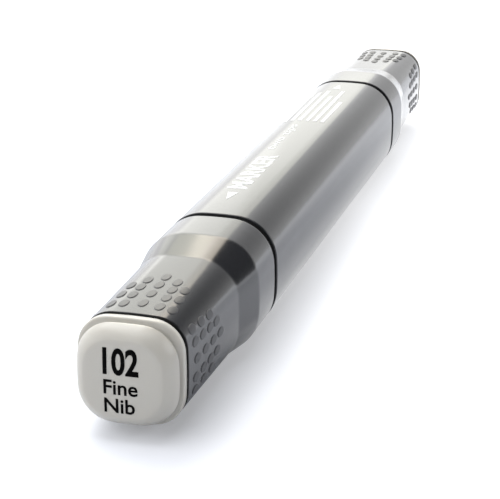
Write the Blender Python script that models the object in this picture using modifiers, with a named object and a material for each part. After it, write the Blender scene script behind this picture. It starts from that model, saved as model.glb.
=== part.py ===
"""Twin-ended felt tip marker: rounded-square barrel, two pull-off caps, a fine nib and a broad chisel nib.

Run it with: blender --background --python part.py
The marker lies along Y with its fine end towards -Y. Z is up, the surface it rests on is Z = 0, and the
origin is under the middle of the barrel. Sizes are named in millimetres and built in metres.
"""

import math
from collections import namedtuple

import bmesh
import bpy

MM = 0.001

# ---------------------------------------------------------------- driving dimensions, in millimetres
BODY = 15.5  # across the flats of the barrel and of each cap's collar
BODY_CORNER = 5.8
WALL = 1.1
BARREL_END = 38.55  # from the middle of the marker to each end of the barrel
GROOVE = 1.3  # gap between the barrel and a cap, which shows the nib section's collar
CAP_RIM = BARREL_END + GROOVE
CAP_SHOULDER = 47.4  # where the cap's collar starts to slope in
CAP_WAIST = 53.5  # where the slope ends and the grip starts
WAIST = 13.7
WAIST_CORNER = 4.9
CAP_END = 72.2
END = 12.7  # across the flats at the cap's outer end and the plug's flange
END_CORNER = 3.9
RIM_EDGE = 0.2  # chamfer on each cap's rim

PLUG_START = CAP_END + 0.75
FLANGE = 1.0
PLUG_NECK = 11.5
PLUG_NECK_LENGTH = 0.4
PILLOW = 12.3
PILLOW_CORNER = 4.4
PILLOW_EDGE = 1.5  # radius that rounds the plug's face into its sides
PLUG_FRONT = 76.6
DOME = 0.2

BOSS_BORE = 7.6
BOSS_FLOOR = 68.2
CUP_BORE = 8.8
CUP_WALL = 0.6
CUP_FLOOR = 67.2
CUP_MOUTH = 46.0

SPIGOT_START = 29.5
SOCKET_FLOOR = 34.5
GUIDE = 12.3
GUIDE_END = 45.0
NECK = 8.2
BEAD = 8.5
BEAD_AT = 50.2
CONE_START = 53.0
NIB_TIP = 62.0

CORE = 10.9
CORE_END = 33.5
FILM_BORE = 11.1
FILM = 11.5
FILM_END = 33.0
SLIDE_FIT = 0.2  # gap on each side where one piece sits in another

AXIS_HEIGHT = BODY / 2
CORNER_STEPS = 8
TURN_STEPS = 32

Station = namedtuple("Station", "along width height corner lean", defaults=(0.0,))
Paint = namedtuple("Paint", "colour roughness metallic")

PAINTS = {
    "body_shell": Paint((0.42, 0.43, 0.44), 0.22, 0.8),
    "colour_plug": Paint((0.58, 0.565, 0.535), 0.30, 0.0),
    "black_plastic": Paint((0.012, 0.012, 0.013), 0.45, 0.0),
    "nib_felt": Paint((0.80, 0.78, 0.72), 0.95, 0.0),
    "nib_sleeve": Paint((0.82, 0.82, 0.80), 0.35, 0.0),
    "ink_fibre": Paint((0.52, 0.53, 0.54), 0.95, 0.0),
    "clear_film": Paint((0.86, 0.88, 0.90), 0.20, 0.0),
}


# ---------------------------------------------------------------- scene helpers
def clear_scene():
    for obj in list(bpy.data.objects):
        bpy.data.objects.remove(obj, do_unlink=True)


def make_material(name):
    paint = PAINTS[name]
    material = bpy.data.materials.get(name)
    if material is None:
        material = bpy.data.materials.new(name)
        material.use_nodes = True
        shader = material.node_tree.nodes["Principled BSDF"]
        shader.inputs["Base Color"].default_value = (*paint.colour, 1.0)
        shader.inputs["Roughness"].default_value = paint.roughness
        shader.inputs["Metallic"].default_value = paint.metallic
    return material


def place(obj, collection, parent, material):
    """Links an object whose data is drawn round the marker's axis, and hangs it from its body's empty."""
    collection.objects.link(obj)
    obj.parent = parent
    obj.location = (0.0, -parent.location.y, 0.0)
    obj.data.materials.append(make_material(material))
    return obj


def body_empty(name, collection, along):
    empty = bpy.data.objects.new(name, None)
    collection.objects.link(empty)
    empty.location = (0.0, along * MM, AXIS_HEIGHT * MM)
    return empty


# ---------------------------------------------------------------- shapes
def outline(width, height, corner):
    """Points round a rounded rectangle in X and Z. The flats lie at the full width and height, and a
    corner as large as half the width gives a circle."""
    half_step = math.pi / 4 / CORNER_STEPS
    reach = corner / math.cos(half_step)
    points = []
    for quarter, (side_x, side_z) in enumerate(((1, 1), (-1, 1), (-1, -1), (1, -1))):
        for step in range(CORNER_STEPS):
            angle = quarter * math.pi / 2 + (2 * step + 1) * half_step
            x = side_x * (width / 2 - corner) + reach * math.cos(angle)
            z = side_z * (height / 2 - corner) + reach * math.sin(angle)
            points.append((x, z))
    return points


def square(along, width, corner):
    return Station(along, width, width, corner)


def disc(along, diameter):
    return Station(along, diameter, diameter, diameter / 2)


def loft(name, stations, side, tube=False):
    """Skins the sections in order. A tube's last section joins its first; otherwise both ends are filled."""
    bm = bmesh.new()
    rings = []
    for station in stations:
        ring = []
        for x, z in outline(station.width, station.height, station.corner):
            y = side * (station.along + station.lean * x)
            ring.append(bm.verts.new((x * MM, y * MM, z * MM)))
        rings.append(ring)
    pairs = list(zip(rings, rings[1:]))
    if tube:
        pairs.append((rings[-1], rings[0]))
    else:
        bm.faces.new(rings[0])
        bm.faces.new(rings[-1])
    count = len(rings[0])
    for first, second in pairs:
        for i in range(count):
            j = (i + 1) % count
            bm.faces.new((first[i], first[j], second[j], second[i]))
    bmesh.ops.recalc_face_normals(bm, faces=bm.faces)
    mesh = bpy.data.meshes.new(name)
    bm.to_mesh(mesh)
    bm.free()
    mesh.shade_smooth()
    mesh.set_sharp_from_angle(angle=math.radians(30))
    return bpy.data.objects.new(name, mesh)


def turned(name, profile, side):
    """Turns (radius, along) points, listed down the outer side, about the marker's axis."""
    mesh = bpy.data.meshes.new(name)
    vertices = [(radius * MM, 0.0, along * MM) for radius, along in profile]
    closed = profile[0][0] > 0
    edges = [(i, i + 1) for i in range(len(profile) - 1)]
    if closed:
        edges.append((len(profile) - 1, 0))
    mesh.from_pydata(vertices, edges, [])
    obj = bpy.data.objects.new(name, mesh)
    screw = obj.modifiers.new("turn", "SCREW")
    screw.axis = "Z"
    screw.steps = TURN_STEPS
    screw.render_steps = TURN_STEPS
    screw.use_merge_vertices = True
    screw.merge_threshold = 0.00001
    screw.use_smooth_shade = True
    obj.rotation_euler = (-side * math.pi / 2, 0.0, 0.0)
    return obj


def extruded_ring(name, width, corner, wall, half_length):
    """A straight rounded-square tube: a flat outline with a smaller one cut from it."""
    curve = bpy.data.curves.new(name, "CURVE")
    curve.dimensions = "2D"
    curve.fill_mode = "BOTH"
    curve.extrude = half_length * MM
    for inset in (0.0, wall):
        points = outline(width - 2 * inset, width - 2 * inset, corner - inset)
        spline = curve.splines.new("POLY")
        spline.points.add(len(points) - 1)
        spline.use_cyclic_u = True
        for point, (x, z) in zip(spline.points, points):
            point.co = (x * MM, z * MM, 0.0, 1.0)
    obj = bpy.data.objects.new(name, curve)
    obj.rotation_euler = (math.pi / 2, 0.0, 0.0)
    return obj


# ---------------------------------------------------------------- the barrel and its ink
def barrel_shell():
    return extruded_ring("barrel_shell", BODY, BODY_CORNER, WALL, BARREL_END)


def reservoir_core():
    """Fibre rod with a blind hole at each end that the nib's tail is pushed into."""
    fine_hole, broad_hole, depth = 1.3, 2.6, 4.0
    profile = [
        (0.0, CORE_END - depth),
        (broad_hole, CORE_END - depth),
        (broad_hole, CORE_END),
        (CORE / 2, CORE_END),
        (CORE / 2, -CORE_END),
        (fine_hole, -CORE_END),
        (fine_hole, -CORE_END + depth),
        (0.0, -CORE_END + depth),
    ]
    return turned("reservoir_core", profile, 1)


def reservoir_film():
    profile = [
        (FILM / 2, FILM_END),
        (FILM / 2, -FILM_END),
        (FILM_BORE / 2, -FILM_END),
        (FILM_BORE / 2, FILM_END),
    ]
    return turned("reservoir_film", profile, 1)


# ---------------------------------------------------------------- nib sections
def section_outside():
    """Spigot in the barrel, collar seen in the groove, guide for the cap, then the round neck with its bead."""
    spigot = BODY - 2 * WALL - 2 * SLIDE_FIT
    spigot_corner = BODY_CORNER - WALL - SLIDE_FIT
    collar = BODY - 0.4
    collar_start, collar_end = BARREL_END + 0.15, CAP_RIM - 0.15
    guide_corner = 4.2
    bead_half, bead_ramp = 0.3, 0.4
    return [
        square(SPIGOT_START, spigot, spigot_corner),
        square(collar_start, spigot, spigot_corner),
        square(collar_start, collar, BODY_CORNER - 0.2),
        square(collar_end, collar, BODY_CORNER - 0.2),
        square(collar_end, GUIDE, guide_corner),
        square(GUIDE_END - 0.5, GUIDE, guide_corner),
        square(GUIDE_END, GUIDE - 1.0, guide_corner - 0.5),
        disc(GUIDE_END, NECK),
        disc(BEAD_AT - bead_half - bead_ramp, NECK),
        disc(BEAD_AT - bead_half, BEAD),
        disc(BEAD_AT + bead_half, BEAD),
        disc(BEAD_AT + bead_half + bead_ramp, NECK),
        disc(CONE_START, NECK),
    ]


def section_socket():
    socket = FILM + 2 * SLIDE_FIT
    return [disc(SOCKET_FLOOR, socket), disc(SPIGOT_START, socket)]


FINE_CONE_END = 58.5
FINE_NIB = 2.0
SLEEVE = 3.1
SLEEVE_START = 52.2
SLEEVE_END = 59.6
BROAD_CONE_END = 54.5
BROAD_HEAD = (5.6, 3.0)
BROAD_TAIL = (3.6, 2.4)
BROAD_HEAD_START = 46.0
NIB_TAIL = 30.0


def fine_section(side):
    seat = SLEEVE + 2 * SLIDE_FIT
    seat_floor = SLEEVE_START - 0.2
    nib_hole = FINE_NIB + 2 * SLIDE_FIT
    inside = [
        disc(FINE_CONE_END, seat),
        disc(seat_floor, seat),
        disc(seat_floor, nib_hole),
        disc(SOCKET_FLOOR, nib_hole),
    ]
    stations = section_outside() + [disc(FINE_CONE_END, 4.6)] + inside + section_socket()
    return loft("fine_section", stations, side, tube=True)


def broad_section(side):
    """The same holder with a flat bore for the chisel nib."""
    gap = 2 * SLIDE_FIT
    head_corner, tail_corner = 0.6, 0.5
    head_floor = BROAD_HEAD_START - 0.3
    inside = [
        Station(BROAD_CONE_END, BROAD_HEAD[0] + gap, BROAD_HEAD[1] + gap, head_corner),
        Station(head_floor, BROAD_HEAD[0] + gap, BROAD_HEAD[1] + gap, head_corner),
        Station(head_floor, BROAD_TAIL[0] + gap, BROAD_TAIL[1] + gap, tail_corner),
        Station(SOCKET_FLOOR, BROAD_TAIL[0] + gap, BROAD_TAIL[1] + gap, tail_corner),
    ]
    stations = section_outside() + [disc(BROAD_CONE_END, 7.4)] + inside + section_socket()
    return loft("broad_section", stations, side, tube=True)


def fine_nib(side):
    """Round fibre rod from the reservoir to a 1 mm bullet point."""
    radius, point = FINE_NIB / 2, 0.5
    taper_start, point_start = NIB_TIP - 2.2, NIB_TIP - point
    arc_steps = 4
    arc = []
    for step in range(arc_steps + 1):
        angle = math.pi / 2 * (1 - step / arc_steps)
        arc.append((point * math.cos(angle), point_start + point * math.sin(angle)))
    arc[0] = (0.0, NIB_TIP)
    profile = arc + [(radius, taper_start), (radius, NIB_TAIL), (0.0, NIB_TAIL)]
    return turned("fine_nib", profile, side)


def fine_nib_sleeve(side):
    """Stiff tube that guides the fine nib out of its cone."""
    outer, inner = SLEEVE / 2, FINE_NIB / 2 + 0.15
    profile = [
        (outer - 0.3, SLEEVE_END),
        (outer, SLEEVE_END - 0.5),
        (outer, SLEEVE_START),
        (inner, SLEEVE_START),
        (inner, SLEEVE_END),
    ]
    return turned("fine_nib_sleeve", profile, side)


def broad_nib(side):
    """Chisel nib: a flat head cut to a slanting edge, on a narrower tail."""
    slant = 0.6
    edge_thickness = 0.9
    edge_middle = NIB_TIP - slant * BROAD_HEAD[0] / 2
    stations = [
        Station(NIB_TAIL, *BROAD_TAIL, 0.4),
        Station(BROAD_HEAD_START, *BROAD_TAIL, 0.4),
        Station(BROAD_HEAD_START, *BROAD_HEAD, 0.5),
        Station(edge_middle - 3.4, *BROAD_HEAD, 0.5, 0.3),
        Station(edge_middle, BROAD_HEAD[0], edge_thickness, 0.3, slant),
    ]
    return loft("broad_nib", stations, side)


# ---------------------------------------------------------------- caps
def cap_shell(name, side):
    """Collar as wide as the barrel, a slope, then a grip that tapers to the end."""
    stations = [
        square(CAP_RIM, BODY - 2 * RIM_EDGE, BODY_CORNER - RIM_EDGE),
        square(CAP_RIM + RIM_EDGE, BODY, BODY_CORNER),
        square(CAP_SHOULDER, BODY, BODY_CORNER),
        square(CAP_WAIST, WAIST, WAIST_CORNER),
        square(CAP_END, END, END_CORNER),
        square(CAP_END, 10.6, 2.9),
        square(CAP_WAIST + 1.0, 11.3, 3.6),
        square(CAP_SHOULDER - 0.5, 13.0, 4.5),
        square(CAP_RIM, 13.1, 4.6),
    ]
    return loft(name, stations, side, tube=True)


def cap_liner(name, side):
    """Inner cap: a cup that closes round the neck, with a thin flange held between shell and plug."""
    flange, flange_corner = END - 0.16, END_CORNER - 0.08
    flange_start, flange_end = CAP_END + 0.1, PLUG_START - 0.1
    spigot, spigot_corner = 10.2, 2.7
    cup = CUP_BORE + 2 * CUP_WALL
    lead_in = 0.4
    stations = [
        disc(CUP_FLOOR, CUP_BORE),
        disc(CUP_MOUTH + 1.0, CUP_BORE),
        disc(CUP_MOUTH, CUP_BORE + lead_in),
        disc(CUP_MOUTH, cup),
        disc(CUP_FLOOR, cup),
        square(CUP_FLOOR + 1.6, spigot, spigot_corner),
        square(flange_start, spigot, spigot_corner),
        square(flange_start, flange, flange_corner),
        square(flange_end, flange, flange_corner),
        disc(flange_end, BOSS_BORE),
        disc(BOSS_FLOOR, BOSS_BORE),
    ]
    return loft(name, stations, side)


def cap_plug(name, side):
    """Colour plug: boss in the liner, flange flush with the shell, narrow neck, then a pillow-shaped face."""
    edge_steps = 5
    flange_end = PLUG_START + FLANGE
    flange_edge = 0.3
    pillow_start = flange_end + PLUG_NECK_LENGTH
    girth = PLUG_FRONT - PILLOW_EDGE
    stations = [
        disc(BOSS_FLOOR + 0.3, BOSS_BORE - 2 * SLIDE_FIT),
        disc(PLUG_START, BOSS_BORE - 2 * SLIDE_FIT),
        square(PLUG_START, END, END_CORNER),
        square(flange_end - flange_edge, END, END_CORNER),
        square(flange_end, END - 2 * flange_edge, END_CORNER - flange_edge),
        square(flange_end, PLUG_NECK, PILLOW_CORNER - 0.4),
        square(pillow_start, PLUG_NECK, PILLOW_CORNER - 0.4),
        square(pillow_start + 0.3, PILLOW - 0.15, PILLOW_CORNER),
    ]
    for step in range(edge_steps + 1):
        angle = math.pi / 2 * step / edge_steps
        inset = PILLOW_EDGE * (1 - math.cos(angle))
        along = girth + PILLOW_EDGE * math.sin(angle)
        stations.append(square(along, PILLOW - 2 * inset, PILLOW_CORNER - inset * 0.6))
    stations.append(square(PLUG_FRONT + DOME, 4.4, 2.0))
    return loft(name, stations, side)


# ---------------------------------------------------------------- assembly
def build():
    clear_scene()
    collection = bpy.data.collections.new("felt_tip_marker")
    bpy.context.scene.collection.children.link(collection)

    barrel = body_empty("barrel", collection, 0.0)
    place(barrel_shell(), collection, barrel, "body_shell")
    place(reservoir_core(), collection, barrel, "ink_fibre")
    place(reservoir_film(), collection, barrel, "clear_film")
    place(fine_section(-1), collection, barrel, "black_plastic")
    place(fine_nib(-1), collection, barrel, "nib_felt")
    place(fine_nib_sleeve(-1), collection, barrel, "nib_sleeve")
    place(broad_section(1), collection, barrel, "black_plastic")
    place(broad_nib(1), collection, barrel, "nib_felt")

    for end, side in (("fine", -1), ("broad", 1)):
        cap = body_empty(end + "_cap", collection, side * CAP_RIM)
        place(cap_shell(end + "_cap_shell", side), collection, cap, "body_shell")
        place(cap_liner(end + "_cap_liner", side), collection, cap, "black_plastic")
        place(cap_plug(end + "_cap_plug", side), collection, cap, "colour_plug")


build()
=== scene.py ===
"""Looks of the twin-ended felt tip marker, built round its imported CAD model.

The row frame is in metres. The marker lies along Y on the plane Z = 0, its fine end towards -Y. Shapes are
worked out here in millimetres, as distances along the marker from its middle, and turned into metres when a
mesh is made.
"""

import math

import bmesh
import bpy
import numpy as np
from mathutils import Matrix, Vector


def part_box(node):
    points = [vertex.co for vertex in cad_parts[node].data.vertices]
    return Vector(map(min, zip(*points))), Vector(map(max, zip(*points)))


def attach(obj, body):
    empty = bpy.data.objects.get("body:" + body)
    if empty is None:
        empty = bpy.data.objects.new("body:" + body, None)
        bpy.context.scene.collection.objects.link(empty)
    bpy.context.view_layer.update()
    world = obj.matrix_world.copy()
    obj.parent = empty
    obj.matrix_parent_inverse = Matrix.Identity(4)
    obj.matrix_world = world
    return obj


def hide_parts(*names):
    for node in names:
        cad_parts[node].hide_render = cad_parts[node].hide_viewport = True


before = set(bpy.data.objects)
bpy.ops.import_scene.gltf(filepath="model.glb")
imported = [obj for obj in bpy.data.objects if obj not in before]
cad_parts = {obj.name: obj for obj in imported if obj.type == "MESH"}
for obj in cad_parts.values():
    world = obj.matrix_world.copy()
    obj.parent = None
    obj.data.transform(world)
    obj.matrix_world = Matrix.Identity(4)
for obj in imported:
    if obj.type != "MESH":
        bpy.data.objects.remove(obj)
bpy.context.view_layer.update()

MM = 0.001
ENDS = (("fine", -1), ("broad", 1))

# ---------------------------------------------------------------- sizes read from the frame, in millimetres
barrel_low, barrel_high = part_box("barrel_shell")
cap_low, cap_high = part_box("broad_cap_shell")
plug_low, plug_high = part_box("broad_cap_plug")
broad_nib_low, broad_nib_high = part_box("broad_nib")
fine_nib_low, fine_nib_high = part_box("fine_nib")

AXIS_HEIGHT = (barrel_low.z + barrel_high.z) / 2 / MM
BODY = (barrel_high.x - barrel_low.x) / MM
BARREL_END = barrel_high.y / MM
CAP_RIM = cap_low.y / MM
CAP_END = cap_high.y / MM
PLUG_BOSS_END = plug_low.y / MM
PLUG_FACE = plug_high.y / MM
PLUG_FLANGE = (plug_high.x - plug_low.x) / MM

# ---------------------------------------------------------------- sizes that the boxes don't give
BODY_CORNER = 5.8
WALL = 1.1
CAP_SHOULDER = 47.4
CAP_WAIST = 53.5
WAIST = 13.7
WAIST_CORNER = 4.9
CAP_END_CORNER = 3.9
PLUG_START = CAP_END + 0.75
PILLOW = 12.05
PILLOW_CORNER = 4.4


# ---------------------------------------------------------------- mesh helpers
FLAT = math.radians(0.01)
CROWN = math.radians(3.0)  # how far a side of the marker's section leans from flat at each of its ends


def around(width, height, corner, at, crown=FLAT):
    """Points, outward normals and the whole length round a rounded rectangle whose sides are slightly
    arched. The places are distances clockwise from the middle of its top, as the broad end sees it."""
    half_x, half_z = width / 2, height / 2
    x, z = half_x - corner, half_z - corner
    bulge = 1 / math.tan(crown) - 1
    radius_x, radius_z = half_z + x * bulge, half_x + z * bulge
    turn = math.pi / 2 - 2 * crown
    small = corner - x * math.tan(crown / 2)
    pieces = [
        (crown, radius_x, (0, half_z - radius_x)), (turn, small, (x, z)),
        (2 * crown, radius_z, (half_x - radius_z, 0)), (turn, small, (x, -z)),
        (2 * crown, radius_x, (0, radius_x - half_z)), (turn, small, (-x, -z)),
        (2 * crown, radius_z, (radius_z - half_x, 0)), (turn, small, (-x, z)),
        (crown, radius_x, (0, half_z - radius_x)),
    ]
    turns, radii, centres = (np.array(column, float) for column in zip(*pieces))
    knots = np.concatenate(([0.0], np.cumsum(turns * radii)))
    at = np.asarray(at) % knots[-1]
    piece = np.clip(np.searchsorted(knots, at, side="right") - 1, 0, len(pieces) - 1)
    angle = np.concatenate(([0.0], np.cumsum(turns)))[piece] + (at - knots[piece]) / radii[piece]
    normals = np.column_stack((np.sin(angle), np.cos(angle)))
    return centres[piece] + radii[piece][:, None] * normals, normals, knots[-1]


def ring(along, width, height, corner, count, side=1, crown=FLAT):
    """Evenly spaced points round a section of the marker."""
    total = around(width, height, corner, [0.0], crown)[2]
    points, _, _ = around(width, height, corner, total * np.arange(count) / count, crown)
    return np.column_stack((points[:, 0], np.full(count, side * along), points[:, 1]))


def square_ring(along, width, corner, count, side=1):
    return ring(along, width, width, corner, count, side, CROWN)


def round_ring(along, diameter, count, side=1):
    return ring(along, diameter, diameter, diameter / 2 - 0.0001, count, side)


def as_object(name, vertices, faces, material, sharp=40):
    """A mesh object from points round the marker's axis in millimetres."""
    points = (np.asarray(vertices, float) + (0.0, 0.0, AXIS_HEIGHT)) * MM
    mesh = bpy.data.meshes.new(name)
    mesh.from_pydata(points.tolist(), [], faces)
    bm = bmesh.new()
    bm.from_mesh(mesh)
    bmesh.ops.recalc_face_normals(bm, faces=bm.faces)
    bm.to_mesh(mesh)
    bm.free()
    mesh.shade_smooth()
    mesh.set_sharp_from_angle(angle=math.radians(sharp))
    mesh.materials.append(material)
    obj = bpy.data.objects.new(name, mesh)
    bpy.context.scene.collection.objects.link(obj)
    return obj


def skin(name, rings, material, tube=False, sharp=40):
    """Joins rings of points with quads. A tube's last ring meets its first; other shapes are filled at both
    ends."""
    count = len(rings[0])
    faces = []
    last = len(rings) if tube else len(rings) - 1
    for row in range(last):
        here, there = row * count, (row + 1) % len(rings) * count
        for i in range(count):
            j = (i + 1) % count
            faces.append((here + i, here + j, there + j, there + i))
    if not tube:
        faces.append(tuple(range(count)))
        faces.append(tuple(range((len(rings) - 1) * count, len(rings) * count)))
    return as_object(name, np.vstack(rings), faces, material, sharp)


def eased(at, knots, reach):
    """A broken line through the knots, read at one place and averaged over reach on each side of it."""
    positions, values = zip(*knots)
    return float(np.mean(np.interp(at + np.linspace(-reach, reach, 9), positions, values)))


def spread(start, end, step):
    """Places from start to end, about a step apart, without the end itself."""
    return list(np.linspace(start, end, max(1, round(abs(end - start) / step)), endpoint=False))


def quarter(steps):
    """Sine and cosine of angles from 0 to 90 degrees."""
    return [(math.sin(a), math.cos(a)) for a in np.linspace(0, math.pi / 2, steps + 1)]


# ---------------------------------------------------------------- materials
def node(tree, kind, **values):
    made = tree.nodes.new(kind)
    for key, value in values.items():
        setattr(made, key, value)
    return made


def noise(tree, scale, detail=3.0, stretch=(1.0, 1.0, 1.0)):
    """Noise in the row frame: scale is in features a metre."""
    where = node(tree, "ShaderNodeTexCoord")
    mapping = node(tree, "ShaderNodeMapping")
    mapping.inputs["Scale"].default_value = stretch
    texture = node(tree, "ShaderNodeTexNoise")
    texture.inputs["Scale"].default_value = scale
    texture.inputs["Detail"].default_value = detail
    tree.links.new(where.outputs["Object"], mapping.inputs["Vector"])
    tree.links.new(mapping.outputs["Vector"], texture.inputs["Vector"])
    return texture.outputs["Fac"]


def mapped(tree, value, low, high, start=0.0, end=1.0):
    """Turns a number between start and end into one between low and high."""
    remap = node(tree, "ShaderNodeMapRange")
    remap.inputs["From Min"].default_value = start
    remap.inputs["From Max"].default_value = end
    remap.inputs["To Min"].default_value = low
    remap.inputs["To Max"].default_value = high
    tree.links.new(value, remap.inputs["Value"])
    return remap.outputs["Result"]


def tinted(tree, value, dark, light):
    """Colour between dark and light, by a number from 0 to 1."""
    mix = node(tree, "ShaderNodeMix", data_type="RGBA")
    mix.inputs[6].default_value = (*dark, 1.0)
    mix.inputs[7].default_value = (*light, 1.0)
    tree.links.new(value, mix.inputs["Factor"])
    return mix.outputs[2]


def bumped(tree, value, distance, strength=1.0):
    """A bump of distance in metres."""
    bump = node(tree, "ShaderNodeBump")
    bump.inputs["Distance"].default_value = distance
    bump.inputs["Strength"].default_value = strength
    tree.links.new(value, bump.inputs["Height"])
    return bump.outputs["Normal"]


def new_material(name, **constants):
    material = bpy.data.materials.new(name)
    material.use_nodes = True
    shader = material.node_tree.nodes["Principled BSDF"]
    for key, value in constants.items():
        shader.inputs[key.replace("_", " ")].default_value = value
    return material, material.node_tree, shader


def shell_gloss():
    """Black-grey moulded plastic with a high polish and the faintest ripple and smear."""
    material, tree, shader = new_material("shell_gloss", IOR=1.52)
    smear = noise(tree, 90, 2.0, (1.0, 0.35, 1.0))
    ripple = noise(tree, 420, 1.0)
    colour = tinted(tree, smear, (0.016, 0.017, 0.019), (0.022, 0.023, 0.026))
    tree.links.new(colour, shader.inputs["Base Color"])
    tree.links.new(mapped(tree, smear, 0.09, 0.23), shader.inputs["Roughness"])
    tree.links.new(bumped(tree, ripple, 0.000004), shader.inputs["Normal"])
    return material


def dot_plastic():
    """The shell's plastic with the dull, etched finish of the grip dots."""
    material, tree, shader = new_material("dot_plastic", IOR=1.52)
    etch = noise(tree, 9000, 3.0)
    colour = tinted(tree, etch, (0.016, 0.017, 0.020), (0.024, 0.025, 0.029))
    tree.links.new(colour, shader.inputs["Base Color"])
    tree.links.new(mapped(tree, etch, 0.33, 0.49), shader.inputs["Roughness"])
    tree.links.new(bumped(tree, etch, 0.000002), shader.inputs["Normal"])
    return material


def plug_plastic():
    """Pale warm grey plastic that tells the ink's colour."""
    material, tree, shader = new_material("plug_plastic", IOR=1.49)
    shader.inputs["Subsurface Weight"].default_value = 0.15
    shader.inputs["Subsurface Radius"].default_value = (0.0012, 0.0010, 0.0008)
    shader.inputs["Subsurface Scale"].default_value = 1.0
    cloud = noise(tree, 160, 3.0)
    colour = tinted(tree, cloud, (0.470, 0.455, 0.415), (0.480, 0.465, 0.425))
    tree.links.new(colour, shader.inputs["Base Color"])
    tree.links.new(mapped(tree, cloud, 0.24, 0.36), shader.inputs["Roughness"])
    tree.links.new(bumped(tree, noise(tree, 3000, 2.0), 0.000003), shader.inputs["Normal"])
    return material


def black_plastic():
    """Satin black plastic with a fine moulded grain."""
    material, tree, shader = new_material("black_plastic", Specular_IOR_Level=0.25)
    grain = noise(tree, 6000, 3.0)
    colour = tinted(tree, grain, (0.004, 0.004, 0.005), (0.008, 0.008, 0.009))
    tree.links.new(colour, shader.inputs["Base Color"])
    tree.links.new(mapped(tree, grain, 0.36, 0.60), shader.inputs["Roughness"])
    tree.links.new(bumped(tree, grain, 0.000010), shader.inputs["Normal"])
    return material


def matte_black():
    """Dull black of the collar rings and the inner caps, which only show down narrow gaps."""
    material, tree, shader = new_material("matte_black", Roughness=0.85, Specular_IOR_Level=0.03)
    grain = noise(tree, 5000, 3.0)
    colour = tinted(tree, grain, (0.003, 0.003, 0.003), (0.007, 0.007, 0.007))
    tree.links.new(colour, shader.inputs["Base Color"])
    tree.links.new(bumped(tree, grain, 0.000008), shader.inputs["Normal"])
    return material


def felt():
    """Bonded fibres that run along the nib, streaked pale and grey."""
    material, tree, shader = new_material("nib_felt", Roughness=0.9)
    shader.inputs["Sheen Weight"].default_value = 0.25
    shader.inputs["Sheen Roughness"].default_value = 0.5
    fibres = noise(tree, 5200, 4.0, (1.0, 0.12, 1.0))
    colour = tinted(tree, mapped(tree, fibres, 0.0, 1.0, 0.3, 0.7), (0.36, 0.365, 0.37), (0.60, 0.60, 0.59))
    tree.links.new(colour, shader.inputs["Base Color"])
    tree.links.new(bumped(tree, fibres, 0.00006), shader.inputs["Normal"])
    return material


def sleeve_plastic():
    """Milky plastic of the stiff sleeve round the fine nib."""
    material, tree, shader = new_material("sleeve_plastic")
    cloud = noise(tree, 900, 2.0)
    tree.links.new(tinted(tree, cloud, (0.70, 0.70, 0.68), (0.80, 0.80, 0.78)), shader.inputs["Base Color"])
    tree.links.new(mapped(tree, cloud, 0.26, 0.46), shader.inputs["Roughness"])
    return material


def ink_fibre():
    """Fibre rod soaked with grey ink, with its fibres along the marker."""
    material, tree, shader = new_material("ink_fibre", Roughness=0.95)
    fibres = noise(tree, 2600, 4.0, (1.0, 0.05, 1.0))
    tree.links.new(tinted(tree, fibres, (0.40, 0.41, 0.42), (0.62, 0.63, 0.64)), shader.inputs["Base Color"])
    tree.links.new(bumped(tree, fibres, 0.00008), shader.inputs["Normal"])
    return material


def clear_film():
    """Clear film wrapped round the reservoir."""
    material, tree, shader = new_material("clear_film", Roughness=0.12)
    shader.inputs["Transmission Weight"].default_value = 0.8
    cloud = noise(tree, 300, 2.0)
    tree.links.new(tinted(tree, cloud, (0.82, 0.84, 0.86), (0.90, 0.91, 0.93)), shader.inputs["Base Color"])
    return material


def printed_ink(name, dark, light, roughness):
    """Screen-printed ink, slightly uneven."""
    material, tree, shader = new_material(name)
    shader.inputs["Specular IOR Level"].default_value = 0.04
    speckle = noise(tree, 4200, 3.0)
    tree.links.new(tinted(tree, speckle, dark, light), shader.inputs["Base Color"])
    tree.links.new(mapped(tree, speckle, roughness - 0.1, roughness + 0.1), shader.inputs["Roughness"])
    return material


SHELL = shell_gloss()
DOTS = dot_plastic()
PLUG = plug_plastic()
BLACK = black_plastic()
MATTE = matte_black()
FELT = felt()
SLEEVE = sleeve_plastic()
FIBRE = ink_fibre()
FILM = clear_film()
WHITE_INK = printed_ink("white_ink", (0.62, 0.64, 0.64), (0.70, 0.72, 0.72), 0.4)
BLACK_INK = printed_ink("black_ink", (0.0005, 0.0005, 0.0005), (0.0015, 0.0015, 0.0015), 0.7)


def refinish(cad_node, material):
    """Gives a CAD node that is shown as it is a better material."""
    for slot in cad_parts[cad_node].material_slots:
        slot.material = material


# ---------------------------------------------------------------- barrel
RIM_EDGE = 0.14  # rounding of the barrel's ends and of the caps' rims
EDGE_LEAD = 0.12  # how far before a rounding a row of points keeps the face flat


def make_barrel():
    """The barrel's tube, with softened ends."""
    count = 240
    edge = RIM_EDGE
    rings = []
    rows = [(BARREL_END - edge - EDGE_LEAD, 0.0)]
    rows += [(BARREL_END - edge + edge * s, edge * (1 - c)) for s, c in quarter(4)]
    outer = [(-along, inset) for along, inset in reversed(rows)]
    outer += [(along, 0.0) for along in spread(1 - BARREL_END, BARREL_END - 1, 6.0)]
    outer += rows
    for along, inset in outer:
        rings.append(square_ring(along, BODY - 2 * inset, BODY_CORNER - inset, count))
    bore, bore_corner = BODY - 2 * WALL, BODY_CORNER - WALL
    for along in (BARREL_END, -BARREL_END):
        rings.append(square_ring(along, bore, bore_corner, count))
    barrel = skin("barrel_tube", rings, SHELL, tube=True)
    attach(barrel, "barrel")
    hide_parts("barrel_shell")


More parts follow.
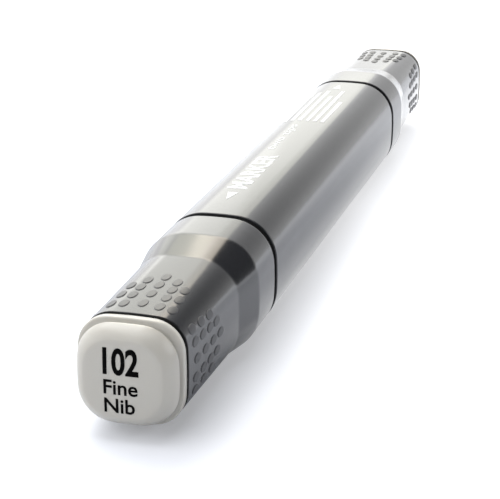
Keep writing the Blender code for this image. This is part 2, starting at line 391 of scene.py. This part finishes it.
# ---------------------------------------------------------------- caps
WIDTH_EASING = 0.35
WIDTH_KNOTS = (
    (CAP_RIM - 2, BODY), (CAP_SHOULDER, BODY), (CAP_WAIST, WAIST), (CAP_END, PLUG_FLANGE),
    (CAP_END + 2, PLUG_FLANGE - 2 * (WAIST - PLUG_FLANGE) / (CAP_END - CAP_WAIST)),
)
CORNER_KNOTS = (
    (CAP_RIM - 2, BODY_CORNER), (CAP_SHOULDER, BODY_CORNER), (CAP_WAIST, WAIST_CORNER),
    (CAP_END, CAP_END_CORNER), (CAP_END + 2, CAP_END_CORNER),
)


def cap_section(along):
    """Width and corner radius of a cap's outside."""
    return eased(along, WIDTH_KNOTS, WIDTH_EASING), eased(along, CORNER_KNOTS, WIDTH_EASING)


CAP_BEND = 0.8  # half the length of the finely divided bends at the cap's shoulder and waist
CAP_HOLLOW = (  # distance along, width and corner radius of the cap's inside, from its end to its rim
    (CAP_END, 10.6, 2.9),
    (CAP_WAIST + 1.0, 11.3, 3.6),
    (CAP_SHOULDER - 0.5, 13.0, 4.5),
    (CAP_RIM + 0.3, 13.1, 4.6),
    (CAP_RIM, 13.5, 4.8),
)


def make_cap_shell(end, side):
    """The cap's moulded shell: straight rim, slope down to the waist, and a slight taper to the end."""
    count = 200
    end_edge = 0.08
    last_row = CAP_END - end_edge - EDGE_LEAD
    rows = [(CAP_RIM + RIM_EDGE * (1 - s), RIM_EDGE * (1 - c)) for s, c in reversed(quarter(4))]
    for start, stop, step in (
        (CAP_RIM + RIM_EDGE + EDGE_LEAD, CAP_SHOULDER - CAP_BEND, 1.5),
        (CAP_SHOULDER - CAP_BEND, CAP_SHOULDER + CAP_BEND, 0.12),
        (CAP_SHOULDER + CAP_BEND, CAP_WAIST - CAP_BEND, 1.0),
        (CAP_WAIST - CAP_BEND, CAP_WAIST + CAP_BEND, 0.12),
        (CAP_WAIST + CAP_BEND, last_row, 1.2),
    ):
        rows += [(along, 0.0) for along in spread(start, stop, step)]
    rows += [(last_row, 0.0)]
    rows += [(CAP_END - end_edge + end_edge * s, end_edge * (1 - c)) for s, c in quarter(3)]
    rings = []
    for along, inset in rows:
        width, corner = cap_section(along)
        rings.append(square_ring(along, width - 2 * inset, corner - inset, count, side))
    for along, width, corner in CAP_HOLLOW:
        rings.append(square_ring(along, width, corner, count, side))
    shell = skin(end + "_cap_grip", rings, SHELL, tube=True)
    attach(shell, end + "_cap")
    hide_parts(end + "_cap_shell")


DOT_LENGTH = 2.3
DOT_WIDTH = 1.2
DOT_HEIGHT = 0.09
DOT_RIM = 0.13  # share of the dot's radius that its rounded rim takes
DOT_ROOT = 0.15  # how far the dot goes into the shell
DOT_SHIFT = 0.5  # how far above the middle of the left and right faces their dots are centred
DOT_COLUMNS = (3.0, 6.0, 8.8, 11.4)  # from the cap's end, on the middle of a face


def dot_places():
    """(distance round from a face's middle, distance from the cap's end) of each grip dot on one face."""
    places = []
    for column, from_end in enumerate(DOT_COLUMNS):
        across = 2 if column < len(DOT_COLUMNS) - 1 else 1
        lateral = (0.0, 2.15 - 0.11 * column, 3.70 - 0.20 * column)
        drop = (0.0, 0.44 + 0.29 * column, 0.5)
        for step in range(-across, across + 1):
            places.append((math.copysign(lateral[abs(step)], step), from_end - drop[abs(step)]))
    return places


def make_dots(end, side):
    """Low oval grip dots on the four faces of a cap, each a closed shape set a little into the shell."""
    spokes = 24
    profile = [(1.0, -DOT_ROOT), (1.0, 0.0)]  # share of the dot's radius, and height above the shell
    profile += [(1 - DOT_RIM * s, DOT_HEIGHT * 0.9 * (1 - c)) for s, c in quarter(4)[1:]]
    profile += [(0.6, DOT_HEIGHT * 0.97), (0.3, DOT_HEIGHT)]
    points, faces = [], []
    angles = 2 * math.pi * np.arange(spokes) / spokes
    for face, shift in enumerate((0.0, -DOT_SHIFT, 0.0, DOT_SHIFT)):
        for across, from_end in dot_places():
            start = len(points)
            for radius, lift in profile:
                for angle in angles:
                    along = CAP_END - from_end + DOT_LENGTH / 2 * radius * math.sin(angle)
                    width, corner = cap_section(along)
                    whole = around(width, width, corner, [0.0], CROWN)[2]
                    at = face * whole / 4 + shift + across + DOT_WIDTH / 2 * radius * math.cos(angle)
                    (point,), (normal,), _ = around(width, width, corner, [at], CROWN)
                    x, z = point + lift * normal
                    points.append((x, side * along, z))
            for row in range(len(profile) - 1):
                here, there = start + row * spokes, start + (row + 1) * spokes
                for i in range(spokes):
                    j = (i + 1) % spokes
                    faces.append((here + i, here + j, there + j, there + i))
            faces.append(tuple(range(start, start + spokes)))
            faces.append(tuple(range(len(points) - spokes, len(points))))
    dots = as_object(end + "_cap_dots", points, faces, DOTS, sharp=60)
    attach(dots, end + "_cap")


BOSS = 7.2  # the peg that holds the plug in the inner cap
FLANGE_EDGE = 0.25
FLANGE_THICKNESS = 0.97
GROOVE_DEPTH = 0.55
GROOVE_LENGTH = 0.70
GIRTH_LENGTH = 0.12  # straight part of the pillow before its edge turns in
FACE_DOME = 0.10
FACE_WIDTH = 9.3
BEVEL = 0.4  # 0 makes the edge round the plug's face a plain curve and 1 a flat slope
BEVEL_STEPS = 14
CORNER_SHRINK = 0.62  # how much the pillow's corner radius shrinks for each millimetre that its edge turns in


def face_height(x, z):
    """How far the plug's gently domed face stands behind its middle."""
    return FACE_DOME * np.minimum((np.square(x) + np.square(z)) / (FACE_WIDTH / 2) ** 2, 2.0)


def make_plug(end, side):
    """Boss, flange, soft groove and pillow, whose face is a shallow dome."""
    count = 192
    flange_end = PLUG_START + FLANGE_THICKNESS
    rings = [round_ring(PLUG_BOSS_END, BOSS - 0.4, count, side)]
    rings += [round_ring(PLUG_BOSS_END + 0.2, BOSS, count, side)]
    rings += [round_ring(PLUG_START, BOSS, count, side)]
    rings += [square_ring(PLUG_START, PLUG_FLANGE - 0.12, CAP_END_CORNER - 0.06, count, side)]
    rings += [square_ring(PLUG_START + 0.06, PLUG_FLANGE, CAP_END_CORNER, count, side)]
    for s, c in quarter(5):
        inset = FLANGE_EDGE * (1 - c)
        along = flange_end - FLANGE_EDGE + FLANGE_EDGE * s
        rings.append(square_ring(along, PLUG_FLANGE - 2 * inset, CAP_END_CORNER - inset * 0.4, count, side))
    start_width, start_corner = PLUG_FLANGE - 2 * FLANGE_EDGE, CAP_END_CORNER - 0.1
    for t in np.linspace(0, 1, 9)[1:]:
        dip = 2 * GROOVE_DEPTH * math.sin(math.pi * t)
        width = start_width + (PILLOW - start_width) * t - dip
        corner = start_corner + (PILLOW_CORNER - start_corner) * t - dip / 4
        rings.append(square_ring(flange_end + GROOVE_LENGTH * t, width, corner, count, side))
    girth = flange_end + GROOVE_LENGTH + GIRTH_LENGTH
    lateral, axial = (PILLOW - FACE_WIDTH) / 2, PLUG_FACE - FACE_DOME - girth
    for step, (s, c) in enumerate(quarter(BEVEL_STEPS)):
        inset = lateral * ((1 - BEVEL) * (1 - c) + BEVEL * step / BEVEL_STEPS)
        along = girth + axial * ((1 - BEVEL) * s + BEVEL * step / BEVEL_STEPS)
        corner = PILLOW_CORNER - CORNER_SHRINK * inset
        rings.append(square_ring(along, PILLOW - 2 * inset, corner, count, side))
    face_corner = PILLOW_CORNER - CORNER_SHRINK * lateral
    for scale in (0.92, 0.8, 0.65, 0.5, 0.35, 0.2, 0.08):
        flat = square_ring(0.0, FACE_WIDTH * scale, face_corner * scale, count, side)
        flat[:, 1] = side * (PLUG_FACE - face_height(flat[:, 0], flat[:, 2]))
        rings.append(flat)
    plug = skin(end + "_colour_plug", rings, PLUG, sharp=50)
    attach(plug, end + "_cap")
    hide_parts(end + "_cap_plug")


# ---------------------------------------------------------------- printing
PRINT_THICKNESS = 0.02
PRINT_STEP = 0.3  # the widest piece of a print that stays flat
NUMBER = "102"


def slice_mesh(mesh, step):
    """Cuts a flat mesh along a grid so that it can be bent over a domed face."""
    bm = bmesh.new()
    bm.from_mesh(mesh)
    bmesh.ops.remove_doubles(bm, verts=bm.verts, dist=0.0005)
    for axis in (Vector((1, 0, 0)), Vector((0, 1, 0))):
        reach = [vertex.co.dot(axis) for vertex in bm.verts]
        for at in np.arange(min(reach) + step / 2, max(reach), step):
            everything = bm.verts[:] + bm.edges[:] + bm.faces[:]
            bmesh.ops.bisect_plane(bm, geom=everything, plane_co=axis * float(at), plane_no=axis)
    bm.to_mesh(mesh)
    bm.free()


def text_mesh(name, text, size, weight):
    """A thin closed mesh of some characters, cut along a grid so that it can be bent."""
    curve = bpy.data.curves.new(name, "FONT")
    curve.body = text
    curve.size = size
    curve.offset = weight
    curve.extrude = PRINT_THICKNESS / 2
    curve.resolution_u = 6
    source = bpy.data.objects.new(name + "_source", curve)
    bpy.context.scene.collection.objects.link(source)
    bpy.context.view_layer.update()
    mesh = bpy.data.meshes.new_from_object(source.evaluated_get(bpy.context.evaluated_depsgraph_get()))
    bpy.data.objects.remove(source)
    slice_mesh(mesh, size / 10)
    return mesh


def make_plug_text(name, text, end, side, size, squeeze, weight, at_x, at_z):
    """Black characters laid on the plug's domed face. at_x and at_z place their lower left corner."""
    mesh = text_mesh(name, text, size, weight)
    points = np.array([v.co for v in mesh.vertices])
    across = points[:, 0] * squeeze + at_x
    up = points[:, 1] + at_z
    proud = points[:, 2] + PRINT_THICKNESS / 2
    along = side * (PLUG_FACE - face_height(across, up) + proud)
    faces = [tuple(p.vertices) for p in mesh.polygons]
    bpy.data.meshes.remove(mesh)
    label = as_object(name, np.column_stack((-side * across, along, up)), faces, BLACK_INK)
    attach(label, end + "_cap")


def make_plug_labels(end, side):
    """A number and two words on a plug's face."""
    make_plug_text(end + "_number", NUMBER, end, side, 4.3, 0.74, 0.12, -2.80, 0.72)
    make_plug_text(end + "_word_upper", end.capitalize(), end, side, 2.45, 1.03, 0.04, -2.35, -1.72)
    make_plug_text(end + "_word_lower", "Nib", end, side, 2.45, 1.03, 0.04, -2.30, -3.95)


def make_print(name, corners):
    """White ink on the barrel's upper side, inside four corners given as (across, along)."""
    a, b, c, d = (np.array(corner, float) for corner in corners)
    across_steps = max(1, math.ceil(abs(b[0] - a[0]) / PRINT_STEP))
    along_steps = 2
    points, faces = [], []
    for level in (PRINT_THICKNESS, -PRINT_THICKNESS):
        for u in np.linspace(0, 1, across_steps + 1):
            for v in np.linspace(0, 1, along_steps + 1):
                across, along = (a * (1 - u) + b * u) * (1 - v) + (d * (1 - u) + c * u) * v
                (point,), (normal,), _ = around(BODY, BODY, BODY_CORNER, [across], CROWN)
                x, z = point + level * normal
                points.append((x, along, z))
    wide = along_steps + 1
    layer = (across_steps + 1) * wide
    for i in range(across_steps):
        for j in range(along_steps):
            quad = [i * wide + j, (i + 1) * wide + j, (i + 1) * wide + j + 1, i * wide + j + 1]
            faces.append(tuple(quad))
            faces.append(tuple(layer + k for k in reversed(quad)))
    border = [i * wide for i in range(across_steps + 1)]
    border += [across_steps * wide + j for j in range(1, wide)]
    border += [i * wide + along_steps for i in range(across_steps - 1, -1, -1)]
    border += [j for j in range(along_steps - 1, 0, -1)]
    for k, here in enumerate(border):
        there = border[(k + 1) % len(border)]
        faces.append((here, there, layer + there, layer + here))
    patch = as_object(name, points, faces, WHITE_INK)
    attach(patch, "barrel")


def block(left, right, start, end):
    """Corners of a rectangle for make_print."""
    return (left, start), (right, start), (right, end), (left, end)


def make_barrel_text(name, text, start, end, baseline, height, weight):
    """White characters along the barrel's upper side. Their tops point to -X and they read towards +Y."""
    mesh = text_mesh(name, text, 1.0, weight)
    points = np.array([v.co for v in mesh.vertices])
    low, high = points.min(axis=0), points.max(axis=0)
    placed = []
    for x, y, z in points:
        along = start + (x - low[0]) / (high[0] - low[0]) * (end - start)
        across = baseline - (y - low[1]) / (high[1] - low[1]) * height
        (point,), (normal,), _ = around(BODY, BODY, BODY_CORNER, [across], CROWN)
        across_x, up = point + normal * (math.copysign(PRINT_THICKNESS / 2, z) + PRINT_THICKNESS / 4)
        placed.append((across_x, along, up))
    faces = [tuple(p.vertices) for p in mesh.polygons]
    bpy.data.meshes.remove(mesh)
    label = as_object(name, placed, faces, WHITE_INK)
    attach(label, "barrel")


def make_barrel_print():
    """A pointer to each end, two generic words, and a block of ruled lines for small print."""
    make_print("pointer_fine", ((-1.02, -32.2), (-0.98, -32.2), (-0.25, -28.8), (-1.75, -28.8)))
    make_print("pointer_broad", ((-1.75, 33.4), (-0.25, 33.4), (-0.98, 36.4), (-1.02, 36.4)))
    make_barrel_text("word_marker", "MARKER", -27.0, -9.5, 0.35, 2.9, 0.03)
    make_barrel_text("word_two_tips", "two tips", -6.5, 8.5, -0.9, 1.6, 0.01)
    start, half_width = 11.2, 0.3
    lines = ((-4.2, 31.8), (-3.0, 30.4), (-1.8, 31.8), (-0.6, 28.2), (0.6, 31.8), (1.8, 24.6))
    for index, (across, end) in enumerate(lines):
        corners = block(across - half_width, across + half_width, start, end)
        make_print(f"small_print_{index}", corners)


# ---------------------------------------------------------------- nib sections
SPIGOT, SPIGOT_CORNER = BODY - 2 * WALL - 0.3, BODY_CORNER - WALL - 0.15
GUIDE, GUIDE_CORNER, GUIDE_END, GUIDE_EDGE = 12.2, 4.2, 45.0, 0.5
NECK, NECK_FILLET = 8.1, 0.3
BEAD, BEAD_AT, BEAD_REACH = 8.4, 50.2, 0.8
SHOULDER, SNOUT_EDGE = 53.0, 0.25
COLLAR, COLLAR_CORNER, COLLAR_EDGE = BODY - 0.4, BODY_CORNER - 0.2, 0.08
COLLAR_GAP = 0.12  # between the collar ring and the barrel's end or the cap's rim
SECTION_FLOOR, SECTION_HOLLOW = 34.5, 11.8
BROAD_SEAT = 45.7
BROAD_BORE = (3.8, 2.6, 0.5)  # width, height and corner radius
SNOUTS = {  # size of the hole that the nib comes out of, width of the snout's end, and where it ends
    "fine": (3.3, 4.6, 58.5),
    "broad": ((5.8, 3.2, 0.6), 7.4, 54.5),
}


def make_section(end, side, mouth, rim, rim_end):
    """Black nib holder: spigot, square guide and round neck with a bead, then a cone or a short snout.
    mouth is the hole that the nib comes out of, and rim the width of the snout's end round it."""
    count = 120
    low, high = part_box(end + "_section")
    spigot_start = min(abs(low.y), abs(high.y)) / MM
    rings = [square_ring(spigot_start, SPIGOT - 0.6, SPIGOT_CORNER - 0.3, count, side)]
    rings += [square_ring(spigot_start + 0.3, SPIGOT, SPIGOT_CORNER, count, side)]
    rings += [square_ring(CAP_RIM - COLLAR_GAP, SPIGOT, SPIGOT_CORNER, count, side)]
    rings += [square_ring(CAP_RIM, GUIDE, GUIDE_CORNER, count, side)]
    for s, c in quarter(5):
        inset = GUIDE_EDGE * (1 - c)
        along = GUIDE_END - GUIDE_EDGE + GUIDE_EDGE * s
        rings.append(square_ring(along, GUIDE - 2 * inset, GUIDE_CORNER - inset, count, side))
    for s, c in quarter(5):
        along = GUIDE_END + NECK_FILLET * (1 - c)
        rings.append(round_ring(along, NECK + 2 * NECK_FILLET * (1 - s), count, side))
    for t in np.linspace(-1, 1, 15):
        swell = (BEAD - NECK) * (0.5 + 0.5 * math.cos(math.pi * t))
        rings.append(round_ring(BEAD_AT + BEAD_REACH * t, NECK + swell, count, side))
    for s, c in quarter(4):
        along = SHOULDER - SNOUT_EDGE + SNOUT_EDGE * s
        rings.append(round_ring(along, NECK - 2 * SNOUT_EDGE * (1 - c), count, side))
    snout = NECK - 2 * SNOUT_EDGE
    for t in np.linspace(0, 1, 10)[1:]:
        along = SHOULDER + (rim_end - SNOUT_EDGE - SHOULDER) * t
        rings.append(round_ring(along, snout + (rim - snout) * t, count, side))
    for s, c in quarter(4)[1:]:
        along = rim_end - SNOUT_EDGE + SNOUT_EDGE * s
        rings.append(round_ring(along, rim - 2 * SNOUT_EDGE * (1 - c), count, side))
    if end == "fine":
        rings += [round_ring(along, mouth, count, side) for along in (rim_end, SECTION_FLOOR)]
    else:
        rings += [ring(along, *mouth, count, side) for along in (rim_end, BROAD_SEAT)]
        rings += [ring(along, *BROAD_BORE, count, side) for along in (BROAD_SEAT, SECTION_FLOOR)]
    rings += [round_ring(along, SECTION_HOLLOW, count, side) for along in (SECTION_FLOOR, spigot_start)]
    holder = skin(end + "_nib_holder", rings, BLACK, tube=True, sharp=35)
    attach(holder, "barrel")
    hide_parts(end + "_section")


def make_collar_ring(end, side):
    """The dull black ring that shows between the barrel and a cap."""
    count = 120
    start, stop = BARREL_END + COLLAR_GAP, CAP_RIM - COLLAR_GAP
    rings = []
    for along, inset in (
        (start, COLLAR_EDGE), (start + COLLAR_EDGE, 0.0), (stop - COLLAR_EDGE, 0.0), (stop, COLLAR_EDGE),
    ):
        rings.append(square_ring(along, COLLAR - 2 * inset, COLLAR_CORNER - inset, count, side))
    for along in (stop, start):
        rings.append(square_ring(along, SPIGOT + 0.04, SPIGOT_CORNER + 0.02, count, side))
    band = skin(end + "_collar_ring", rings, MATTE, tube=True, sharp=35)
    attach(band, "barrel")


# ---------------------------------------------------------------- nibs
BULLET_TAPER = 2.4
BULLET_POINT = 0.5
BULLET_SWELL = 0.12
CHISEL_SLANT = 0.6
CHISEL_EDGE = 1.0
CHISEL_TAPER = 3.4
CHISEL_SHANK = (3.6, 2.4, 0.4)  # width, height and corner radius
CHISEL_CORNER = 0.42
CHISEL_HEAD_START = 46.0


def make_fine_nib():
    """Felt rod that tapers to a rounded point."""
    side = -1
    count = 48
    radius = (fine_nib_high.x - fine_nib_low.x) / 2 / MM
    tip, tail = -fine_nib_low.y / MM, -fine_nib_high.y / MM
    rings = [round_ring(along, 2 * radius, count, side) for along in (tail, tail + 10, tip - BULLET_TAPER)]
    for t in np.linspace(0, 1, 8)[1:]:
        width = radius + (BULLET_POINT - radius) * (t - BULLET_SWELL * math.sin(math.pi * t))
        along = tip - BULLET_TAPER + (BULLET_TAPER - BULLET_POINT) * t
        rings.append(round_ring(along, 2 * width, count, side))
    for s, c in quarter(8)[1:]:
        width = max(2 * BULLET_POINT * c, 0.04)
        rings.append(round_ring(tip - BULLET_POINT + BULLET_POINT * s, width, count, side))
    nib = skin("bullet_nib", rings, FELT, sharp=60)
    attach(nib, "barrel")
    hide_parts("fine_nib")


def make_broad_nib():
    """Flat felt block whose end is cut to a slanting edge."""
    count = 96
    head_width = (broad_nib_high.x - broad_nib_low.x) / MM
    head_height = (broad_nib_high.z - broad_nib_low.z) / MM
    tip, tail = broad_nib_high.y / MM, broad_nib_low.y / MM
    edge_middle = tip - CHISEL_SLANT * head_width / 2
    edge_start = edge_middle - 0.15
    rings = [ring(along, *CHISEL_SHANK, count) for along in (tail, CHISEL_HEAD_START)]
    rings += [ring(CHISEL_HEAD_START, head_width - 0.3, head_height - 0.3, 0.4, count)]
    rings += [ring(CHISEL_HEAD_START + 0.15, head_width, head_height, 0.5, count)]
    for t in np.linspace(0, 1, 10):
        height = head_height + (CHISEL_EDGE - head_height) * t
        row = ring(edge_start - CHISEL_TAPER * (1 - t), head_width, height, CHISEL_CORNER, count)
        row[:, 1] += CHISEL_SLANT * t * row[:, 0]
        rings.append(row)
    for s, c in quarter(4)[1:]:
        inset = 0.22 * (1 - c)
        width, height, corner = head_width - 2 * inset, CHISEL_EDGE - 2 * inset, CHISEL_CORNER - inset
        row = ring(edge_start + 0.15 * s, width, height, corner, count)
        row[:, 1] += CHISEL_SLANT * row[:, 0]
        rings.append(row)
    nib = skin("chisel_nib", rings, FELT, sharp=50)
    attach(nib, "barrel")
    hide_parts("broad_nib")


# ---------------------------------------------------------------- floor, light and camera
# Sizes and places on the stage are in metres.
FLOOR_HALF = 4.0
FLOOR_COLOUR = (0.712, 0.735, 0.795, 1.0)
EDGE_GLOW = 0.75  # strength of the painted light right beside the marker, which only reflections see; it paints a bright reflection along the marker's lower edges
EDGE_GLOW_FADE = (0.0105, 0.0140)  # distances from the marker's axis over which it fades
EDGE_GLOW_START = (-0.052, -0.030)  # places along the marker over which it sets in
FAR_GLOW = 0.6  # strength of the painted light behind the marker, which only reflections see; it brightens the floor's reflection in the marker's sides
FAR_GLOW_START = (0.02, 0.15)
SEEN_GLOW = (0.13, 0.62)  # strength of the painted light in front of and behind the marker, which only the camera sees; it lifts the floor's shadows
SEEN_GLOW_RISE = (-0.09, 0.02)


def make_floor():
    """A white table with painted light: its glow is no lamp. The camera sees an even glow that rises along
    the marker and lifts the shadows on the floor. Reflections see one glow beside the marker and one behind
    it, which paint brighter edges and sides on the marker."""
    mesh = bpy.data.meshes.new("floor")
    corners = [(x * FLOOR_HALF, y * FLOOR_HALF, 0) for x, y in ((-1, -1), (1, -1), (1, 1), (-1, 1))]
    mesh.from_pydata(corners, [], [(0, 1, 2, 3)])
    material, tree, shader = new_material("floor_paper", Roughness=0.9)
    shader.inputs["Specular IOR Level"].default_value = 0.1
    shader.inputs["Base Color"].default_value = FLOOR_COLOUR
    where = node(tree, "ShaderNodeTexCoord")
    split = node(tree, "ShaderNodeSeparateXYZ")
    tree.links.new(where.outputs["Object"], split.inputs["Vector"])
    # painted reflection: glow beside and behind the marker that only reflections see; it is not a lamp
    beside = node(tree, "ShaderNodeMath", operation="ABSOLUTE")
    tree.links.new(split.outputs["X"], beside.inputs[0])
    near = mapped(tree, beside.outputs[0], EDGE_GLOW, 0.0, *EDGE_GLOW_FADE)
    ahead = mapped(tree, split.outputs["Y"], 0.0, 1.0, *EDGE_GLOW_START)
    patch = node(tree, "ShaderNodeMath", operation="MULTIPLY")
    tree.links.new(near, patch.inputs[0])
    tree.links.new(ahead, patch.inputs[1])
    path = node(tree, "ShaderNodeLightPath")
    glow = node(tree, "ShaderNodeMix", data_type="FLOAT")
    tree.links.new(path.outputs["Is Camera Ray"], glow.inputs["Factor"])
    beyond = mapped(tree, split.outputs["Y"], 0.0, FAR_GLOW, *FAR_GLOW_START)
    hidden = node(tree, "ShaderNodeMath", operation="ADD")
    tree.links.new(patch.outputs[0], hidden.inputs[0])
    tree.links.new(beyond, hidden.inputs[1])
    tree.links.new(hidden.outputs[0], glow.inputs[2])
    # painted light: the glow the camera sees lightens the floor's shadows
    seen = mapped(tree, split.outputs["Y"], *SEEN_GLOW, *SEEN_GLOW_RISE)
    tree.links.new(seen, glow.inputs[3])
    tree.links.new(glow.outputs[0], shader.inputs["Emission Strength"])
    shader.inputs["Emission Color"].default_value = (1.0, 1.0, 1.0, 1.0)
    mesh.materials.append(material)
    floor = bpy.data.objects.new("floor", mesh)
    bpy.context.scene.collection.objects.link(floor)


def direction(azimuth, elevation):
    """Unit vector. Azimuth 0 is along +Y and 90 is along +X, in degrees."""
    azimuth, elevation = math.radians(azimuth), math.radians(elevation)
    level = math.cos(elevation)
    return Vector((level * math.sin(azimuth), level * math.cos(azimuth), math.sin(elevation)))


def make_softbox(name, azimuth, elevation, width, height, radiance, colour):
    """A rectangular lamp that faces the marker. Its power is worked out from the radiance it should show."""
    light = bpy.data.lights.new(name, "AREA")
    light.shape = "RECTANGLE"
    light.size, light.size_y = width, height
    light.energy = radiance * width * height * math.pi
    light.color = colour
    lamp = bpy.data.objects.new(name, light)
    towards = direction(azimuth, elevation)
    lamp.location = towards * LAMP_DISTANCE
    lamp.rotation_euler = towards.to_track_quat("Z", "Y").to_euler()
    lamp.visible_camera = False
    bpy.context.scene.collection.objects.link(lamp)


SURROUND_LEFT = 1.5
SURROUND_DARK = 0.03
SURROUND_FRONT = 0.12
SURROUND_FADE = (math.radians(20), math.radians(45))  # azimuth plus elevation over which the left fades
FRONT_FADE = (math.radians(50), math.radians(95))  # azimuth over which the dark back turns into the front


def make_world():
    """A bright surround on the left that fades to dark at the back right. The camera sees plain white."""
    world = bpy.data.worlds.new("studio")
    bpy.context.scene.world = world
    world.use_nodes = True
    tree = world.node_tree
    background = tree.nodes["Background"]
    where = node(tree, "ShaderNodeTexCoord")
    split = node(tree, "ShaderNodeSeparateXYZ")
    tree.links.new(where.outputs["Generated"], split.inputs["Vector"])
    azimuth = node(tree, "ShaderNodeMath", operation="ARCTAN2")
    tree.links.new(split.outputs["X"], azimuth.inputs[0])
    tree.links.new(split.outputs["Y"], azimuth.inputs[1])
    elevation = node(tree, "ShaderNodeMath", operation="ARCSINE")
    tree.links.new(split.outputs["Z"], elevation.inputs[0])
    total = node(tree, "ShaderNodeMath", operation="ADD")
    tree.links.new(azimuth.outputs[0], total.inputs[0])
    tree.links.new(elevation.outputs[0], total.inputs[1])
    back = mapped(tree, total.outputs[0], SURROUND_LEFT, SURROUND_DARK, *SURROUND_FADE)
    front = mapped(tree, azimuth.outputs[0], 0.0, 1.0, *FRONT_FADE)
    blend = node(tree, "ShaderNodeMix", data_type="FLOAT")
    tree.links.new(front, blend.inputs["Factor"])
    tree.links.new(back, blend.inputs[2])
    blend.inputs[3].default_value = SURROUND_FRONT
    path = node(tree, "ShaderNodeLightPath")
    pick = node(tree, "ShaderNodeMix", data_type="FLOAT")
    tree.links.new(path.outputs["Is Camera Ray"], pick.inputs["Factor"])
    tree.links.new(blend.outputs[0], pick.inputs[2])
    pick.inputs[3].default_value = 1.0
    tree.links.new(pick.outputs[0], background.inputs["Strength"])
    background.inputs["Color"].default_value = (1.0, 1.0, 1.0, 1.0)


LAMP_DISTANCE = 1.2
LAMPS = (  # name, azimuth and elevation in degrees, width and height in metres, radiance and colour
    ("window_low", -14, 9, 0.50, 0.42, 0.6, (1.0, 1.0, 1.0)),
    ("window_pane", -21, 21, 0.24, 0.36, 0.5, (1.0, 1.0, 1.0)),
    ("window_middle", -20, 21, 0.62, 0.40, 1.1, (1.0, 1.0, 0.84)),
    ("window_high", -10.5, 41, 0.36, 0.42, 4.4, (1.0, 0.90, 0.75)),
    ("window_high_left", -24, 41, 0.20, 0.42, 2.4, (1.0, 1.0, 0.82)),
    ("window_side", -40, 16, 0.62, 0.60, 0.7, (1.0, 1.0, 1.0)),
    ("key", -48, 55, 0.7, 0.7, 3.2, (1.0, 1.0, 1.0)),
    ("overhead", 0, 88, 1.0, 1.0, 1.9, (1.0, 1.0, 1.0)),
    ("fill", 78, 25, 0.8, 0.6, 3.0, (1.0, 1.0, 1.0)),
)


CAMERA_AT = Vector((0.0602, -0.2410, 0.0825))
CAMERA_AZIMUTH = 15.5
CAMERA_ELEVATION = 18.8
CAMERA_ROLL = 0.2
FOCAL_LENGTH = 123.1


def make_camera():
    data = bpy.data.cameras.new("camera")
    data.sensor_width = 36.0
    data.lens = FOCAL_LENGTH
    data.clip_start = 0.01
    camera = bpy.data.objects.new("camera", data)
    forward = direction(-CAMERA_AZIMUTH, -CAMERA_ELEVATION)
    level = forward.cross(Vector((0, 0, 1))).normalized()
    upright = level.cross(forward)
    roll = math.radians(CAMERA_ROLL)
    right = math.cos(roll) * level + math.sin(roll) * upright
    up = math.cos(roll) * upright - math.sin(roll) * level
    turn = Matrix((right, up, -forward)).transposed().to_4x4()
    camera.matrix_world = Matrix.Translation(CAMERA_AT) @ turn
    bpy.context.scene.collection.objects.link(camera)
    bpy.context.scene.camera = camera


# ---------------------------------------------------------------- assembly
make_camera()
make_world()
for lamp in LAMPS:
    make_softbox(*lamp)
make_floor()
bpy.context.scene.view_settings.view_transform = "Standard"

make_barrel()
make_barrel_print()
for end_name, end_side in ENDS:
    make_cap_shell(end_name, end_side)
    make_dots(end_name, end_side)
    make_plug(end_name, end_side)
    make_plug_labels(end_name, end_side)
    refinish(end_name + "_cap_liner", MATTE)
for end_name, end_side in ENDS:
    make_section(end_name, end_side, *SNOUTS[end_name])
    make_collar_ring(end_name, end_side)
make_fine_nib()
make_broad_nib()
refinish("fine_nib_sleeve", SLEEVE)
refinish("reservoir_core", FIBRE)
refinish("reservoir_film", FILM)
